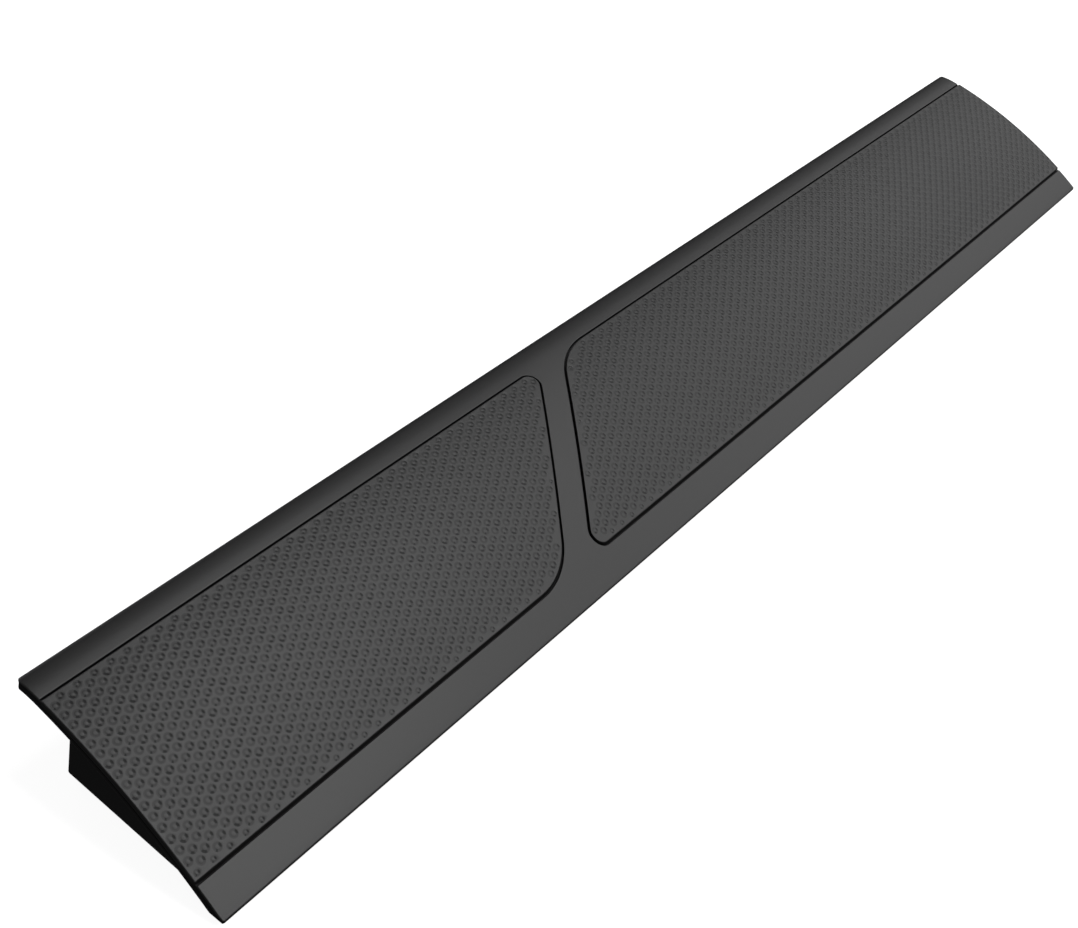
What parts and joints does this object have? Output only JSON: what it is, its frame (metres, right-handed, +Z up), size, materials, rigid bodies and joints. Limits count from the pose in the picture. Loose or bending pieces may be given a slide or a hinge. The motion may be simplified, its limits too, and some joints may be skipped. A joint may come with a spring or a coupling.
{
  "type": "keyboard wrist rest",
  "caption": "Curved palm support for the front of a keyboard, with textured grip pads, a wedge base on rubber feet and snap prongs at the rear.",
  "frame": {"origin": "centre of the bounding box at desk level, under the rubber feet", "axes": "+X along the rest to the right, +Y towards the keyboard, +Z up"},
  "size_m": [0.44, 0.0686, 0.021],
  "materials": {
    "shell_plastic": "soft-touch satin",
    "pad_texture": "soft-touch, moulded grip texture",
    "base_plastic": "fine spark-eroded matt",
    "clip_plastic": "smooth semi-matt",
    "foot_rubber": "matt",
    "screw_steel": "zinc plated"
  },
  "bodies": {
    "rest": {"top_shell": "shell_plastic", "left_grip_pad": "pad_texture", "right_grip_pad": "pad_texture", "base_tray": "base_plastic", "left_clip_carrier": "clip_plastic", "right_clip_carrier": "clip_plastic", "left_clip_screw_1": "screw_steel", "left_clip_screw_2": "screw_steel", "right_clip_screw_1": "screw_steel", "right_clip_screw_2": "screw_steel", "base_screw_1": "screw_steel", "base_screw_2": "screw_steel", "base_screw_3": "screw_steel", "base_screw_4": "screw_steel", "base_screw_5": "screw_steel", "base_screw_6": "screw_steel", "base_screw_7": "screw_steel", "base_screw_8": "screw_steel", "rubber_foot_1": "foot_rubber", "rubber_foot_2": "foot_rubber", "rubber_foot_3": "foot_rubber", "rubber_foot_4": "foot_rubber", "rubber_foot_5": "foot_rubber", "rubber_foot_6": "foot_rubber"},
    "left_outer_prong": {"left_clip_outer_prong": "clip_plastic"},
    "left_inner_prong": {"left_clip_inner_prong": "clip_plastic"},
    "right_outer_prong": {"right_clip_outer_prong": "clip_plastic"},
    "right_inner_prong": {"right_clip_inner_prong": "clip_plastic"}
  },
  "joints": [
    {"name": "left_outer_flex", "type": "hinge", "parent": "rest", "child": "left_outer_prong", "pos_m": [-0.1675, 0.008, 0.0076], "axis": [0, 0, -1], "range_deg": [0, 4.5], "stiffness_Nm_per_rad": 2},
    {"name": "left_inner_flex", "type": "hinge", "parent": "rest", "child": "left_inner_prong", "pos_m": [-0.1525, 0.008, 0.0076], "axis": [0, 0, 1], "range_deg": [0, 4.5], "stiffness_Nm_per_rad": 2},
    {"name": "right_outer_flex", "type": "hinge", "parent": "rest", "child": "right_outer_prong", "pos_m": [0.1675, 0.008, 0.0076], "axis": [0, 0, 1], "range_deg": [0, 4.5], "stiffness_Nm_per_rad": 2},
    {"name": "right_inner_flex", "type": "hinge", "parent": "rest", "child": "right_inner_prong", "pos_m": [0.1525, 0.008, 0.0076], "axis": [0, 0, -1], "range_deg": [0, 4.5], "stiffness_Nm_per_rad": 2}
  ]
}
